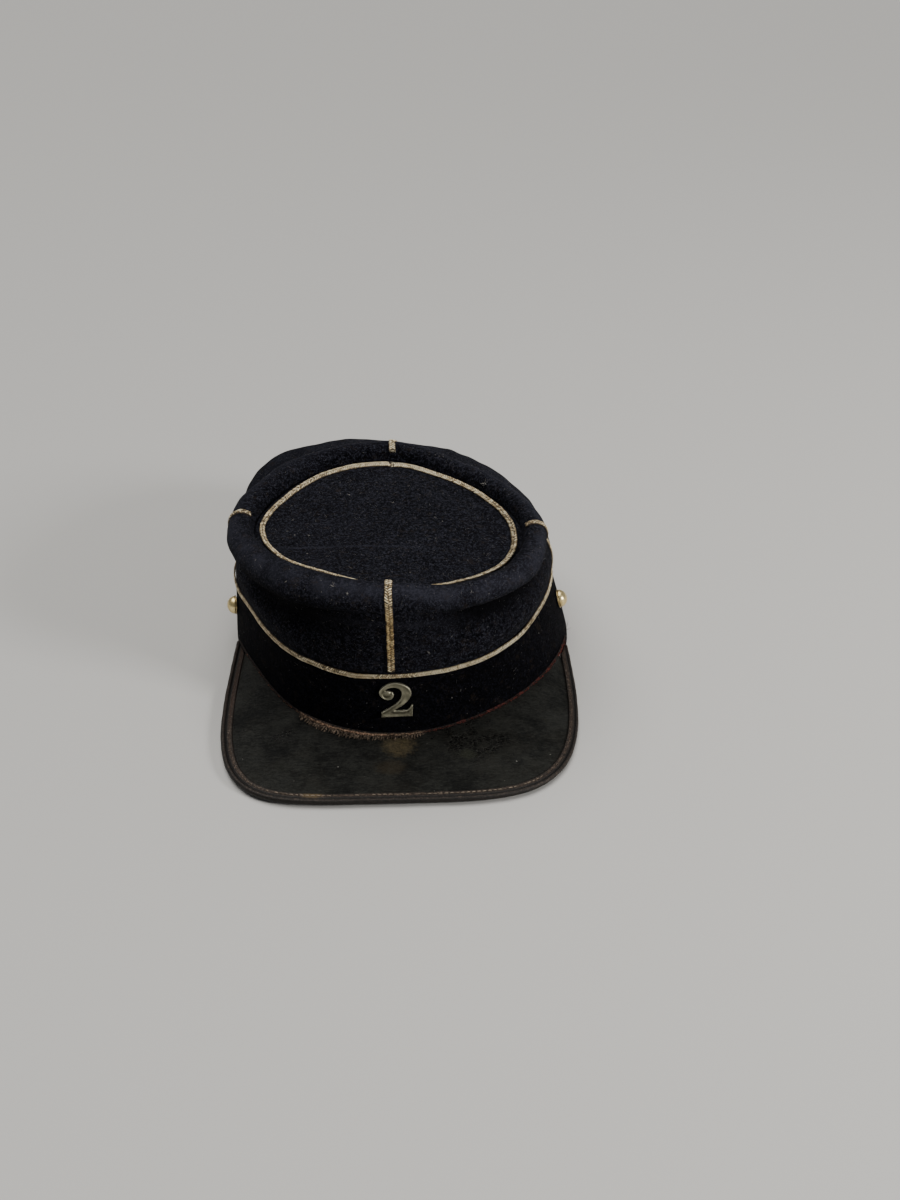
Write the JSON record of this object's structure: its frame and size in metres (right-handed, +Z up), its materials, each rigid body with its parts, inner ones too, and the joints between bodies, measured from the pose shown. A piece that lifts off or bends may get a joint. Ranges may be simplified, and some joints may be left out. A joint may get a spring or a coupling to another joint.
{
  "type": "kepi cap",
  "caption": "Old officer's kepi of dark wool cloth with a rolled, sunken crown, metallic braids, a figure on the band, side buttons and a bound leather peak.",
  "frame": {"origin": "the middle of the cap's outline on the surface that its rim rests on", "axes": "+Z up, -Y towards the peak, +X to the right as the cap is seen from its front"},
  "size_m": [0.171, 0.2384, 0.0847],
  "materials": {
    "navy_cloth": "thick fulled wool cloth, dark navy, worn and a little linty",
    "metallic_braid": "flat braid of old metal thread, champagne gold, tarnished",
    "peak_leather": "old black leather, grey-green, with glossy worn patches",
    "binding_leather": "folded black-brown leather edge, worn brown on its ridge",
    "worn_seam": "torn brown leather fibres along the seam",
    "button_brass": "satin brass, a little tarnished at its foot",
    "white_metal": "dull white metal, olive-grey with age"
  },
  "bodies": {
    "root": {"band": "navy_cloth", "crown": "navy_cloth", "crown_top": "navy_cloth", "band_braid": "metallic_braid", "front_braid": "metallic_braid", "back_braid": "metallic_braid", "left_braid": "metallic_braid", "right_braid": "metallic_braid", "top_braid": "metallic_braid", "peak": "peak_leather", "peak_binding": "binding_leather", "peak_seam": "worn_seam", "left_button": "button_brass", "right_button": "button_brass", "numeral": "white_metal"}
  },
  "joints": []
}
